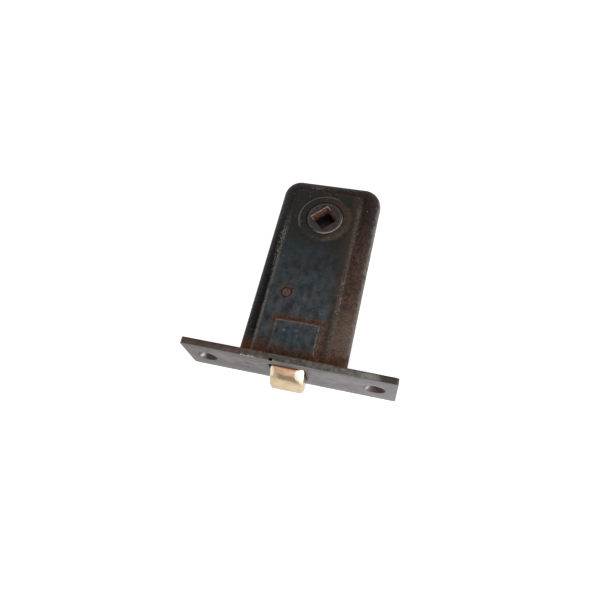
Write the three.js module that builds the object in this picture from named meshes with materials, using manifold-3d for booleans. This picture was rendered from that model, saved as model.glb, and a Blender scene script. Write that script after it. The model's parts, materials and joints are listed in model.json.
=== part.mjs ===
// Mortise latch with a round-edged pressed steel case, lying on its side.
//
// Units are millimetres. Every piece is drawn in the lock's own design frame:
//   x runs along the faceplate and is 0 on the hub's and bolt's middle line,
//   y runs from the faceplate's outer face into the door,
//   z is square to the case's broad sides and is 0 in the middle of the case.
// The last lines shift that frame so that the origin is at the bottom centre of the whole lock.
//
// How it works: a square spindle turns the hub. The hub's two arms bear on the lugs of a
// U-shaped yoke and draw it back against two yoke springs. The yoke pulls the latch bolt's
// tail rod by its nut. A striker can also push the bolt in alone, against the latch spring.

import * as THREE from "three";
import { mergeVertices } from "three/addons/utils/BufferGeometryUtils.js";
import Module from "manifold-3d";

const wasm = await Module();
wasm.setup();

// ---------------------------------------------------------------- driving dimensions

const gap = 0.3; // between neighbours that touch on the real lock

const plate = { length: 82.6, width: 22.6, thickness: 2.6, cornerRadius: 1.2 };
const plateMiddle = -0.4; // x of the faceplate's middle: the case is riveted on a little off centre
const screwHole = { x: 33, radius: 2.5, headRadius: 4.25, headDepth: 1.75 };

const lockCase = { halfWidth: 21.3, depth: 86, edgeRadius: 6.9, wall: 1.5, cornerBlend: 0.5 };
const innerRadius = lockCase.edgeRadius - lockCase.wall; // half the clear height inside the case
const coreHalfWidth = lockCase.halfWidth - lockCase.edgeRadius; // where the flat sides end
const panel = { middle: -0.6, inset: 0.2, height: 0.25, slope: 0.5, rearMargin: 0.6 }; // the flat sides stand proud
const face = lockCase.edgeRadius + panel.height;
const caseFront = plate.thickness + gap;
const lip = { thickness: 0.8, height: 1.5, root: 1.2 }; // rim of the lower half, inside the upper half

const backset = 65.8; // faceplate's outer face to the spindle's axis
const hubBoss = { topRadius: 9.8, footRadius: 10.9, height: 0.8 };
const hubRoomHalfHeight = 6.3;
const latchPad = { topHalfWidth: 8.3, flareHalfWidth: 10.9, flareEnd: 7, topEnd: 17.5, slope: 2.3, height: 0.9 };
const padRecess = { halfWidth: 7.3, end: 17.7, halfHeight: 6.3 };

const hub = { journalRadius: 7.65, bodyRadius: 8.4, halfHeight: 7.8, shoulder: 6, square: 8 };
const arm = { restAngle: 21, tipRadius: 1.9, neckHalfWidth: 1.4, halfHeight: 1.7 };
const yokeTravel = 7.5; // for a hub turn of twice arm.restAngle
const armReach = yokeTravel / (2 * Math.sin(THREE.MathUtils.degToRad(arm.restAngle)));

const yoke = {
  front: 33.2,
  barThickness: 3.6,
  barHalfHeight: 5,
  legInner: 12.9,
  legOuter: 16.9,
  legHalfHeight: 1.6,
  lugInner: 9.2,
  lugThickness: 3.2,
  lugHalfHeight: 2.5,
  shoeHalfHeight: 4.4,
};
const yokeBarBack = yoke.front + yoke.barThickness;
const armPlay = 0.15; // arm tip to lug at rest
const lugFront = backset - yokeTravel / 2 + arm.tipRadius + armPlay;
const lugBack = lugFront + yoke.lugThickness;

const head = {
  halfWidth: 6.4,
  halfHeight: 5.9,
  projection: 6.3,
  shoulder: 2.6, // where the full height ends, just inside the faceplate
  backHalfHeight: 5.1,
  back: 11,
  chamfer: { across: 0.7, down: 0.7 }, // along the two upper edges
  edge: 0.5, // along the two lower edges
  noseRadius: 1.8,
  cornerRadius: { left: 1.2, right: 2.8 }, // of the nose, seen from above
  worn: { left: 5.1, right: 3.3, y: -2.03, z: 4.33, fall: 46.4, tilt: 14 }, // corners of the bevel, worn flat
};
const boltOpening = { halfWidth: 7.1, halfHeight: 6.2 }; // in the faceplate, wider than the bolt
const rod = { radius: 2.3, front: 4.3, back: 40.9 };
const tailPin = { radius: 1, halfLength: 4.8, y: 7.6 };
const springWasher = { radius: 4.6, thickness: 0.8 };
const tailWasher = { radius: 3.8, thickness: 1 };
const tailNut = { acrossFlats: 6.4, thickness: 1.8 };
const latchSpring = { meanRadius: 3.3, wire: 0.45, turns: 7 };

const bracket = { tabInner: 5, tabOuter: 11.5, tabFront: 52.7, tabBack: 54.2, baseFront: 46.5 };
const bracketBase = { bottom: -5.1, top: -4 };
const bracketTabTop = 4.8;
const bracketRivet = { x: 8.2, y: 49.5, radius: 1.3, headRadius: 2.2, headHeight: 0.5 };
const yokeSpring = { x: 8, meanRadius: 2.55, wire: 0.45, turns: 7 };
const springGuide = { radius: 1.5, front: 34.2, back: 43.5 };

const caseRivet = { x: -7.6, y: 29.8, radius: 2.1, shoulderRadius: 3, shoulder: 5.1, proud: 0.1 };
const frontLug = { inner: 12.6, back: 10 };
const frontRivet = { x: 16.4, radius: 2, headRadius: 2.9, headDepth: 1.2, back: 9.2 };

const round = 40; // sides of the larger round shapes
const smallRound = 20;

// ---------------------------------------------------------------- solids from three.js geometry

// A three.js geometry as a manifold-3d solid.
function solid(geometry) {
  const bare = geometry.clone();
  bare.deleteAttribute("normal");
  bare.deleteAttribute("uv");
  const merged = mergeVertices(bare, 1e-4);
  return new wasm.Manifold(
    new wasm.Mesh({
      numProp: 3,
      vertProperties: new Float32Array(merged.attributes.position.array),
      triVerts: new Uint32Array(merged.index.array),
    }),
  );
}

// A manifold-3d solid as a three.js geometry with flat faces.
function geometryOf(manifold) {
  const mesh = manifold.getMesh();
  const positions = new Float32Array(mesh.numVert * 3);
  for (let i = 0; i < mesh.numVert; i += 1) {
    positions.set(mesh.vertProperties.subarray(i * mesh.numProp, i * mesh.numProp + 3), i * 3);
  }
  const geometry = new THREE.BufferGeometry();
  geometry.setAttribute("position", new THREE.BufferAttribute(positions, 3));
  geometry.setIndex(new THREE.BufferAttribute(new Uint32Array(mesh.triVerts), 1));
  geometry.computeVertexNormals();
  return geometry;
}

const join = (first, ...others) => others.reduce((made, next) => made.add(next), first);
const cut = (first, ...others) => others.reduce((made, next) => made.subtract(next), first);

function box([x0, x1], [y0, y1], [z0, z1]) {
  const geometry = new THREE.BoxGeometry(x1 - x0, y1 - y0, z1 - z0);
  geometry.translate((x0 + x1) / 2, (y0 + y1) / 2, (z0 + z1) / 2);
  return solid(geometry);
}

// An outline in x and y, extruded along z.
function prismZ(shape, z0, z1, curveSegments = 6) {
  const geometry = new THREE.ExtrudeGeometry(shape, { depth: z1 - z0, bevelEnabled: false, curveSegments });
  geometry.translate(0, 0, z0);
  return solid(geometry);
}

// An outline in x and z, extruded along y.
function prismY(shape, y0, y1, curveSegments = 6) {
  const geometry = new THREE.ExtrudeGeometry(shape, { depth: y1 - y0, bevelEnabled: false, curveSegments });
  geometry.rotateX(Math.PI / 2);
  geometry.translate(0, y1, 0);
  return solid(geometry);
}

// A profile of [radius, height] pairs, from the top down the outside, turned about the y axis.
function turned(profile, sides) {
  const points = profile.map(([r, h]) => new THREE.Vector2(r, h));
  return new THREE.LatheGeometry(points, sides);
}

// The same, about an upright axis at (x, y); heights are z.
function turnedZ(profile, x, y, sides = round) {
  const geometry = turned(profile, sides);
  geometry.rotateX(Math.PI / 2);
  geometry.translate(x, y, 0);
  return solid(geometry);
}

// The same, about an axis along y at x; heights are y.
function turnedY(profile, x, sides = round) {
  const geometry = turned(profile, sides);
  geometry.translate(x, 0, 0);
  return solid(geometry);
}

const rodZ = (x, y, radius, z0, z1, sides) =>
  turnedZ([[0, z0], [radius, z0], [radius, z1], [0, z1]], x, y, sides);
const rodY = (x, radius, y0, y1, sides) =>
  turnedY([[0, y0], [radius, y0], [radius, y1], [0, y1]], x, sides);

function roundedRectangle(halfX, halfY, radius) {
  const shape = new THREE.Shape();
  shape.absarc(halfX - radius, halfY - radius, radius, 0, Math.PI / 2);
  shape.absarc(radius - halfX, halfY - radius, radius, Math.PI / 2, Math.PI);
  shape.absarc(radius - halfX, radius - halfY, radius, Math.PI, 1.5 * Math.PI);
  shape.absarc(halfX - radius, radius - halfY, radius, 1.5 * Math.PI, 2 * Math.PI);
  return shape;
}

// ---------------------------------------------------------------- faceplate and its fixings

function faceplate() {
  const outline = roundedRectangle(plate.length / 2, plate.width / 2, plate.cornerRadius);
  const blank = prismY(outline, 0, plate.thickness, 3);
  const past = plate.thickness + 1;
  const opening = box(
    [-boltOpening.halfWidth, boltOpening.halfWidth],
    [-1, past],
    [-boltOpening.halfHeight, boltOpening.halfHeight],
  );
  const screwSinks = [-1, 1].map((side) =>
    turnedY(
      [
        [0, -1],
        [screwHole.headRadius + 0.5, -1],
        [screwHole.headRadius, 0],
        [screwHole.radius, screwHole.headDepth],
        [screwHole.radius, past],
        [0, past],
      ],
      side * screwHole.x,
      32,
    ),
  );
  const rivetSinks = [-1, 1].map((side) =>
    turnedY(
      [
        [0, -1],
        [frontRivet.headRadius + gap, -1],
        [frontRivet.headRadius + gap, 0],
        [frontRivet.radius + gap, frontRivet.headDepth],
        [frontRivet.radius + gap, past],
        [0, past],
      ],
      side * frontRivet.x,
      24,
    ),
  );
  return cut(cut(blank, opening, ...screwSinks).translate([plateMiddle, 0, 0]), ...rivetSinks);
}

// A block with one half-round side that fits the case's rounded edge behind the faceplate.
function frontLugSolid(side) {
  const radius = innerRadius - gap;
  const shape = new THREE.Shape();
  shape.moveTo(frontLug.inner, -radius);
  shape.absarc(coreHalfWidth, 0, radius, -Math.PI / 2, Math.PI / 2);
  shape.lineTo(frontLug.inner, radius);
  shape.closePath();
  const block = cut(
    prismY(shape, caseFront, frontLug.back),
    rodY(frontRivet.x, frontRivet.radius + gap, caseFront - 1, frontLug.back + 1, 24),
  );
  return side > 0 ? block : block.rotate([0, 180, 0]);
}

// Its head is dressed flush with the faceplate.
function frontRivetSolid(side) {
  const { radius, headRadius, headDepth, back } = frontRivet;
  const profile = [[0, 0], [headRadius, 0], [radius, headDepth], [radius, back], [0, back]];
  return turnedY(profile, side * frontRivet.x, 24);
}

// ---------------------------------------------------------------- case halves

// All points within a distance of the case's flat core: a slab with half-round edges and corners.
function slab(radius) {
  const back = lockCase.depth - lockCase.edgeRadius;
  const front = -lockCase.depth / 4;
  const blend = lockCase.cornerBlend;
  const core = new THREE.Shape();
  core.moveTo(-coreHalfWidth, front);
  core.lineTo(coreHalfWidth, front);
  core.absarc(coreHalfWidth - blend, back - blend, blend, 0, Math.PI / 2);
  core.absarc(blend - coreHalfWidth, back - blend, blend, Math.PI / 2, Math.PI);
  core.closePath();
  const straight = 0.2; // height of the upright band halfway up the edge
  const geometry = new THREE.ExtrudeGeometry(core, {
    depth: straight,
    bevelThickness: radius - straight / 2,
    bevelSize: radius,
    bevelSegments: 8,
    curveSegments: 4,
  });
  geometry.translate(0, 0, -straight / 2);
  return solid(geometry);
}

// An outline pressed outwards from a flat at a height, with sloping sides outside the outline.
function raised(shape, level, slope, height, side) {
  const buried = 0.3;
  const geometry = new THREE.ExtrudeGeometry(shape, {
    depth: buried,
    bevelThickness: height,
    bevelSize: slope,
    bevelSegments: 1,
    curveSegments: 3,
  });
  geometry.translate(0, 0, level - buried);
  const made = solid(geometry);
  return side > 0 ? made : made.mirror([0, 0, 1]);
}

// The raised ring round the hub; side is 1 for the upper half and -1 for the lower one.
function hubBossSolid(side) {
  const top = face + hubBoss.height;
  const foot = innerRadius + 0.5;
  const profile = [
    [0, foot],
    [hubBoss.footRadius, foot],
    [hubBoss.footRadius, face],
    [hubBoss.topRadius, top],
    [0, top],
  ];
  const boss = turnedZ(profile, 0, backset);
  return side > 0 ? boss : boss.mirror([0, 0, 1]);
}

// The raised pad with sloping sides that gives the bolt's head its room.
function latchPadSolid(side) {
  const { topHalfWidth, flareHalfWidth, flareEnd, topEnd, slope, height } = latchPad;
  const shape = new THREE.Shape();
  shape.moveTo(-flareHalfWidth, 0);
  shape.lineTo(flareHalfWidth, 0);
  shape.lineTo(topHalfWidth, flareEnd);
  shape.lineTo(topHalfWidth, topEnd);
  shape.lineTo(-topHalfWidth, topEnd);
  shape.lineTo(-topHalfWidth, flareEnd);
  shape.closePath();
  return raised(shape, face, slope, height, side);
}

// The flat side itself, a shallow step above the half-round edges.
function panelSolid(side) {
  const halfWidth = coreHalfWidth - panel.inset;
  const back = lockCase.depth - lockCase.edgeRadius - panel.rearMargin;
  const corner = 1.5;
  const shape = new THREE.Shape();
  shape.moveTo(-halfWidth, 0);
  shape.lineTo(halfWidth, 0);
  shape.absarc(halfWidth - corner, back - corner, corner, 0, Math.PI / 2);
  shape.absarc(corner - halfWidth, back - corner, corner, Math.PI / 2, Math.PI);
  shape.closePath();
  return raised(shape, lockCase.edgeRadius, panel.slope, panel.height, side).translate([panel.middle, 0, 0]);
}

// Everything hollow inside the case, drawn past its front so that the front stays open.
function cavity() {
  const { halfWidth, end, halfHeight } = padRecess;
  return join(
    slab(innerRadius),
    box([-halfWidth, halfWidth], [0, end], [-halfHeight, halfHeight]),
    rodZ(0, backset, hub.bodyRadius + 2 * gap, -hubRoomHalfHeight, hubRoomHalfHeight, round),
  );
}

function caseHalf(side) {
  const far = 100;
  const reach = face + 2;
  const hubHole = rodZ(0, backset, hub.journalRadius + gap, -reach, reach, round);
  const rivetHole = rodZ(caseRivet.x, caseRivet.y, caseRivet.radius + gap, -reach, reach, smallRound);
  const whole = cut(
    join(slab(lockCase.edgeRadius), panelSolid(side), hubBossSolid(side), latchPadSolid(side)),
    cavity(),
    hubHole,
    rivetHole,
  );
  const seam = side * (gap / 2);
  const heights = side > 0 ? [seam, far] : [-far, seam];
  return whole.intersect(box([-far, far], [caseFront, far], heights));
}

// A thin rim that stands up from the lower half and keeps the upper half in line.
function nestingLip() {
  const far = 100;
  const inside = slab(innerRadius - gap - lip.thickness);
  const start = frontLug.back + 2;
  const above = cut(slab(innerRadius - gap), inside).intersect(
    box([-far, far], [start, far], [-gap, lip.height]),
  );
  const root = cut(slab(innerRadius + gap), inside).intersect(
    box([-far, far], [start, far], [-lip.root, -gap / 2]),
  );
  return join(above, root);
}

function lowerCaseHalf() {
  const bottom = -face - 1;
  const rivetHoles = [-1, 1].map((side) =>
    rodZ(side * bracketRivet.x, bracketRivet.y, bracketRivet.radius + gap, bottom, 0, smallRound),
  );
  return cut(join(caseHalf(-1), nestingLip()), ...rivetHoles);
}

// The shouldered post that spaces the two halves and is peened over at both ends.
function caseRivetSolid() {
  const { x, y, radius, shoulderRadius, shoulder, proud } = caseRivet;
  const end = face + proud;
  const profile = [
    [0, -end],
    [radius - 0.2, -end],
    [radius, -end + 0.2],
    [radius, -shoulder],
    [shoulderRadius, -shoulder],
    [shoulderRadius, shoulder],
    [radius, shoulder],
    [radius, end - 0.2],
    [radius - 0.2, end],
    [0, end],
  ];
  return turnedZ(profile, x, y, smallRound);
}

// ---------------------------------------------------------------- hub

// One arm, from the hub's middle to its round tip, at an angle from +x.
function hubArm(angle) {
  const neck = new THREE.Shape();
  neck.moveTo(0, -arm.neckHalfWidth);
  neck.lineTo(armReach, -arm.neckHalfWidth);
  neck.lineTo(armReach, arm.neckHalfWidth);
  neck.lineTo(0, arm.neckHalfWidth);
  neck.closePath();
  const tip = rodZ(armReach, 0, arm.tipRadius, -arm.halfHeight, arm.halfHeight, smallRound);
  const whole = join(prismZ(neck, -arm.halfHeight, arm.halfHeight), tip);
  return whole.rotate([0, 0, angle]).translate([0, backset, 0]);
}

function hubSolid() {
  const { journalRadius, bodyRadius, halfHeight, shoulder, square } = hub;
  const edge = 0.3;
  const side = [
    [0, -halfHeight],
    [journalRadius - edge, -halfHeight],
    [journalRadius, -halfHeight + edge],
    [journalRadius, -shoulder],
    [bodyRadius, -shoulder],
    [bodyRadius, shoulder],
    [journalRadius, shoulder],
    [journalRadius, halfHeight - edge],
    [journalRadius - edge, halfHeight],
    [0, halfHeight],
  ];
  const body = turnedZ(side, 0, backset);
  const spindleHole = box([-square / 2, square / 2], [-square / 2, square / 2], [-2 * halfHeight, 2 * halfHeight])
    .rotate([0, 0, 45])
    .translate([0, backset, 0]);
  return cut(join(body, hubArm(-arm.restAngle), hubArm(180 + arm.restAngle)), spindleHole);
}

// ---------------------------------------------------------------- yoke and its springs

function yokeSolid() {
  const { front, barHalfHeight, legInner, legOuter, legHalfHeight, lugInner } = yoke;
  const bar = box([-legInner, legInner], [front, yokeBarBack], [-barHalfHeight, barHalfHeight]);
  const foot = box([-legOuter, legOuter], [front, yokeBarBack], [-legHalfHeight, legHalfHeight]);
  const sides = [-1, 1].flatMap((side) => {
    const across = (a, b) => (side > 0 ? [a, b] : [-b, -a]);
    return [
      box(across(legInner, legOuter), [front, lugBack], [-legHalfHeight, legHalfHeight]),
      box(across(lugInner, legOuter), [lugFront, lugBack], [-yoke.lugHalfHeight, yoke.lugHalfHeight]),
      box(across(legInner, legOuter), [lugFront, lugBack], [-yoke.shoeHalfHeight, yoke.shoeHalfHeight]),
    ];
  });
  const guideHoles = [-1, 1].map((side) =>
    rodY(side * yokeSpring.x, springGuide.radius + gap, springGuide.front - gap, yokeBarBack + 1, smallRound),
  );
  const rodHole = rodY(0, rod.radius + gap, front - 1, yokeBarBack + 1, 24);
  return cut(join(bar, foot, ...sides), rodHole, ...guideHoles);
}

const springGuideSolid = (side) =>
  rodY(side * yokeSpring.x, springGuide.radius, springGuide.front, springGuide.back, smallRound);

// A compression spring's centreline along y, with one closed turn at each end.
class SpringLine extends THREE.Curve {
  constructor(x, y0, y1, radius, wire, turns) {
    super();
    Object.assign(this, { x, y0, y1, radius, wire, turns });
  }

  getPoint(t, target = new THREE.Vector3()) {
    const turn = t * this.turns;
    const closedPitch = 2 * this.wire + 0.12;
    const start = this.y0 + this.wire;
    const end = this.y1 - this.wire;
    const openPitch = (end - start - 2 * closedPitch) / (this.turns - 2);
    let y = start + turn * closedPitch;
    if (turn > 1) y = start + closedPitch + (turn - 1) * openPitch;
    if (turn > this.turns - 1) y = end - (this.turns - turn) * closedPitch;
    const angle = 2 * Math.PI * turn;
    return target.set(this.x + this.radius * Math.cos(angle), y, this.radius * Math.sin(angle));
  }
}

function springSolid(x, y0, y1, { meanRadius, wire, turns }) {
  const section = new THREE.Shape();
  const wireSides = 6;
  for (let i = 0; i < wireSides; i += 1) {
    const angle = (2 * Math.PI * i) / wireSides;
    const point = [wire * Math.cos(angle), wire * Math.sin(angle)];
    if (i) section.lineTo(...point);
    else section.moveTo(...point);
  }
  const line = new SpringLine(x, y0, y1, meanRadius, wire, turns);
  const stepsPerTurn = 14;
  return solid(new THREE.ExtrudeGeometry(section, { steps: turns * stepsPerTurn, extrudePath: line }));
}

const yokeSpringSolid = (side) =>
  springSolid(side * yokeSpring.x, yokeBarBack + gap, bracket.tabFront - gap, yokeSpring);

// The angle bracket that the yoke springs push against, riveted to the lower half.
function bracketSolid() {
  const { tabInner, tabOuter, tabFront, tabBack, baseFront } = bracket;
  const { bottom, top } = bracketBase;
  const base = box([-tabOuter, tabOuter], [baseFront, tabBack], [bottom, top]);
  const tabs = [
    box([-tabOuter, -tabInner], [tabFront, tabBack], [bottom, bracketTabTop]),
    box([tabInner, tabOuter], [tabFront, tabBack], [bottom, bracketTabTop]),
  ];
  const holes = [-1, 1].map((side) =>
    rodZ(side * bracketRivet.x, bracketRivet.y, bracketRivet.radius + gap, bottom - 1, 0, smallRound),
  );
  return cut(join(base, ...tabs), ...holes);
}

function bracketRivetSolid(side) {
  const { x, y, radius, headRadius, headHeight } = bracketRivet;
  const foot = -face;
  const seat = bracketBase.top + gap;
  const top = seat + headHeight;
  const profile = [[0, foot], [radius, foot], [radius, seat], [headRadius, seat], [radius, top], [0, top]];
  return turnedZ(profile, side * x, y, smallRound);
}

// ---------------------------------------------------------------- latch bolt

// The front of the head seen from its side: y is drawn as the shape's x, z as its y.
function headProfile() {
  const { halfHeight, projection, shoulder, noseRadius } = head;
  const shape = new THREE.Shape();
  const bevelStart = -0.3;
  const noseLevel = -halfHeight + 2 * noseRadius;
  shape.moveTo(shoulder, -halfHeight);
  shape.lineTo(shoulder, halfHeight);
  shape.lineTo(bevelStart, halfHeight);
  shape.quadraticCurveTo(-0.62 * projection, 0.52 * halfHeight, -projection, noseLevel);
  shape.quadraticCurveTo(-projection - 0.05, -halfHeight, noseRadius - projection, -halfHeight);
  shape.closePath();
  return shape;
}

// The front of the head seen end on, in x and z.
function headSection() {
  const { halfWidth, halfHeight, chamfer, edge } = head;
  const shape = new THREE.Shape();
  shape.moveTo(edge - halfWidth, -halfHeight);
  shape.lineTo(halfWidth - edge, -halfHeight);
  shape.lineTo(halfWidth, edge - halfHeight);
  shape.lineTo(halfWidth, halfHeight - chamfer.down);
  shape.lineTo(halfWidth - chamfer.across, halfHeight);
  shape.lineTo(chamfer.across - halfWidth, halfHeight);
  shape.lineTo(-halfWidth, halfHeight - chamfer.down);
  shape.lineTo(-halfWidth, edge - halfHeight);
  shape.closePath();
  return shape;
}

// The front of the head seen from above, in x and y.
function headPlan() {
  const { halfWidth, projection, shoulder, cornerRadius } = head;
  const nose = -projection - 0.1;
  const shape = new THREE.Shape();
  shape.moveTo(halfWidth, shoulder);
  shape.lineTo(-halfWidth, shoulder);
  const { left, right } = cornerRadius;
  shape.absarc(left - halfWidth, nose + left, left, Math.PI, 1.5 * Math.PI);
  shape.absarc(halfWidth - right, nose + right, right, 1.5 * Math.PI, 2 * Math.PI);
  shape.closePath();
  return shape;
}

// Takes off one side of the bevel by a plane that leans to that side, from x outwards.
function wearCorner(made, x) {
  const { y, z, fall, tilt } = head.worn;
  const [slope, lean] = [fall, tilt].map(THREE.MathUtils.degToRad);
  const outward = new THREE.Vector3(
    Math.sign(x) * Math.sin(lean),
    -Math.sin(slope) * Math.cos(lean),
    Math.cos(slope) * Math.cos(lean),
  );
  const level = outward.dot(new THREE.Vector3(x, y, z));
  return made.trimByPlane(outward.negate().toArray(), -level);
}

function headSolid() {
  const { halfWidth, halfHeight, projection, shoulder, backHalfHeight, back } = head;
  const sideView = new THREE.ExtrudeGeometry(headProfile(), {
    depth: 2 * halfWidth + 2,
    bevelEnabled: false,
    curveSegments: 8,
  });
  // Turns the shape's x to y, its y to z and its depth to x.
  sideView.applyMatrix4(new THREE.Matrix4().makeBasis(
    new THREE.Vector3(0, 1, 0),
    new THREE.Vector3(0, 0, 1),
    new THREE.Vector3(1, 0, 0),
  ));
  sideView.translate(-halfWidth - 1, 0, 0);
  const blank = solid(sideView)
    .intersect(prismY(headSection(), -projection - 1, shoulder + 1))
    .intersect(prismZ(headPlan(), -halfHeight - 1, halfHeight + 1, 5));
  const front = wearCorner(wearCorner(blank, head.worn.right), -head.worn.left);
  const body = prismY(headSection(), shoulder - 0.5, back)
    .intersect(box([-halfWidth, halfWidth], [0, back], [-backHalfHeight, backHalfHeight]));
  return cut(
    join(front, body),
    rodY(0, rod.radius + gap, rod.front - gap, back + 1, 24),
    rodZ(0, tailPin.y, tailPin.radius + gap, -halfWidth, halfWidth, smallRound),
  );
}

function tailRodSolid() {
  const reach = rod.radius + 1;
  return cut(
    rodY(0, rod.radius, rod.front, rod.back, 24),
    rodZ(0, tailPin.y, tailPin.radius + gap, -reach, reach, smallRound),
  );
}

const tailPinSolid = () =>
  rodZ(0, tailPin.y, tailPin.radius, -tailPin.halfLength, tailPin.halfLength, smallRound);

const washerSolid = (y0, { radius, thickness }) =>
  cut(
    rodY(0, radius, y0, y0 + thickness, 24),
    rodY(0, rod.radius + gap, y0 - 1, y0 + thickness + 1, 24),
  );

// A six-sided nut with two flats facing the yoke springs.
function tailNutSolid(y0) {
  const corner = tailNut.acrossFlats / Math.sqrt(3);
  const back = y0 + tailNut.thickness;
  const hexagon = new THREE.Shape();
  for (let i = 0; i < 6; i += 1) {
    const angle = Math.PI / 6 + (Math.PI * i) / 3;
    const point = [corner * Math.cos(angle), corner * Math.sin(angle)];
    if (i) hexagon.lineTo(...point);
    else hexagon.moveTo(...point);
  }
  return cut(prismY(hexagon, y0, back), rodY(0, rod.radius + gap, y0 - 1, back + 1, 24));
}

// ---------------------------------------------------------------- assembly

const finish = (color, roughness, metalness) =>
  new THREE.MeshStandardMaterial({ color, roughness, metalness });
const materials = {
  blackenedSteel: finish(0x2c3033, 0.6, 0.7),
  plateSteel: finish(0x7d7a79, 0.45, 0.85),
  rustySteel: finish(0x6a4030, 0.85, 0.3),
  hubIron: finish(0x463a35, 0.6, 0.7),
  brass: finish(0xc9a15f, 0.28, 1),
  springSteel: finish(0x6e7074, 0.35, 1),
  plainSteel: finish(0x585a5c, 0.5, 0.9),
};

const lock = new THREE.Group();

function place(name, manifold, material) {
  const mesh = new THREE.Mesh(geometryOf(manifold), material);
  mesh.name = name;
  lock.add(mesh);
}

const washerFront = head.back + gap;
const latchSpringFront = washerFront + springWasher.thickness + gap;
const tailWasherFront = yokeBarBack + gap;
const tailNutFront = tailWasherFront + tailWasher.thickness + gap;

place("faceplate", faceplate(), materials.plateSteel);
place("upper_case_half", caseHalf(1), materials.blackenedSteel);
place("lower_case_half", lowerCaseHalf(), materials.blackenedSteel);
place("case_rivet", caseRivetSolid(), materials.rustySteel);
place("hub", hubSolid(), materials.hubIron);
place("yoke", yokeSolid(), materials.plainSteel);
place("spring_bracket", bracketSolid(), materials.plainSteel);
place("latch_bolt_head", headSolid(), materials.brass);
place("tail_rod", tailRodSolid(), materials.plainSteel);
place("tail_pin", tailPinSolid(), materials.plainSteel);
place("latch_spring_washer", washerSolid(washerFront, springWasher), materials.plainSteel);
place("latch_spring", springSolid(0, latchSpringFront, yoke.front - gap, latchSpring), materials.springSteel);
place("tail_washer", washerSolid(tailWasherFront, tailWasher), materials.plainSteel);
place("tail_nut", tailNutSolid(tailNutFront), materials.plainSteel);

for (const [end, side] of [["left", -1], ["right", 1]]) {
  place(`front_lug_${end}`, frontLugSolid(side), materials.plainSteel);
  place(`front_rivet_${end}`, frontRivetSolid(side), materials.plateSteel);
  place(`yoke_spring_${end}`, yokeSpringSolid(side), materials.springSteel);
  place(`spring_guide_${end}`, springGuideSolid(side), materials.plainSteel);
  place(`bracket_rivet_${end}`, bracketRivetSolid(side), materials.plainSteel);
}

lock.position.set(-plateMiddle, -(lockCase.depth - head.projection) / 2, plate.width / 2);

const root = new THREE.Group();
root.add(lock);

export default root;
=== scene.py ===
"""Mortise latch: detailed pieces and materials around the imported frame."""
import json
import math

import bmesh
import bpy
from mathutils import Matrix, Vector


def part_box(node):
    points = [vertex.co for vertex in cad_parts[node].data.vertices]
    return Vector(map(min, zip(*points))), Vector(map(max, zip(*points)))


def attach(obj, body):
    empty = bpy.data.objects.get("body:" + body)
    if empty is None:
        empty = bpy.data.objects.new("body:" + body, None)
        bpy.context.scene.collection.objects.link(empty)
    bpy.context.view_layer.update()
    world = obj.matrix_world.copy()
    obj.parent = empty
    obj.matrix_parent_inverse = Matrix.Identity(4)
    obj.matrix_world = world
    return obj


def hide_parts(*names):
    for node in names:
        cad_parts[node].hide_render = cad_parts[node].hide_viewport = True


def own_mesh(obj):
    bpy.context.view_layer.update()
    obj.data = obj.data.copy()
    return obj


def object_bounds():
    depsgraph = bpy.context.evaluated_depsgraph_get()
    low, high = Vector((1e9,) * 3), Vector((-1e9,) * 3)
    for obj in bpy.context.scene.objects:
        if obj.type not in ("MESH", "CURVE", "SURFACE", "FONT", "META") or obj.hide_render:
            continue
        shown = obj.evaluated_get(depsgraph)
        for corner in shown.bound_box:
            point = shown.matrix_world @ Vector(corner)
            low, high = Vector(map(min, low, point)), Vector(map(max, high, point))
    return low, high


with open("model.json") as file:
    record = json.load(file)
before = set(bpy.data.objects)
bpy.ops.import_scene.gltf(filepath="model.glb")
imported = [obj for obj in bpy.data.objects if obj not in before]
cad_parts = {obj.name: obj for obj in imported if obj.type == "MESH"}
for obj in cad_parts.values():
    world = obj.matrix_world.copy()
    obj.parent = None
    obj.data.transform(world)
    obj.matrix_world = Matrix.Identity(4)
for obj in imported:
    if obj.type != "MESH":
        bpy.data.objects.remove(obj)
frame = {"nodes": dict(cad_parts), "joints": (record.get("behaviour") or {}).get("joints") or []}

CAD_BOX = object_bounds()

# ------------------------------------------------------------------ places, from the frame

MM = 0.001
JOINTS = {j["name"]: j for j in frame["joints"]}
PLATE_LOW, PLATE_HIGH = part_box("faceplate")
ORIGIN = Vector((JOINTS["hub_turn"]["pos_m"][0], PLATE_LOW[1], (PLATE_LOW[2] + PLATE_HIGH[2]) / 2))


def at(x, y, z):
    """A point in metres, from millimetres off the hub's middle line, the faceplate's face and mid height."""
    return ORIGIN + Vector((x, y, z)) * MM


def box_of(node):
    """A node's lowest and highest corners in the design frame."""
    return tuple((Vector(corner) - ORIGIN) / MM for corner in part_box(node))


plate_low, plate_high = box_of("faceplate")
PLATE_MIDDLE = (plate_low.x + plate_high.x) / 2
PLATE_HALF_X = (plate_high.x - plate_low.x) / 2
PLATE_HALF_Z = plate_high.z
PLATE_THICKNESS = plate_high.y
BACKSET = (JOINTS["hub_turn"]["pos_m"][1] - ORIGIN.y) / MM
HUB_TOP = box_of("hub")[1].z
case_low, case_high = box_of("upper_case_half")
CASE_FRONT = case_low.y
CASE_DEPTH = case_high.y
CASE_HALF_X = case_high.x
BOLT_OUT = -box_of("latch_bolt_head")[0].y
BOLT_HALF_X = box_of("latch_bolt_head")[1].x
BOLT_HALF_Z = box_of("latch_bolt_head")[1].z
WEAR_FALL = math.radians(46.4)  # the worn corners of the bolt's bevel: their slope down to the front
WEAR_LEAN = math.radians(14)  # and to the side
WEAR_POINTS = ((3.3, -2.03, 4.33), (-5.1, -2.03, 4.33))
EDGE_RADIUS = 6.9
FACE = 7.15  # height of the case's flat side
SHEET = 1.45
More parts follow.
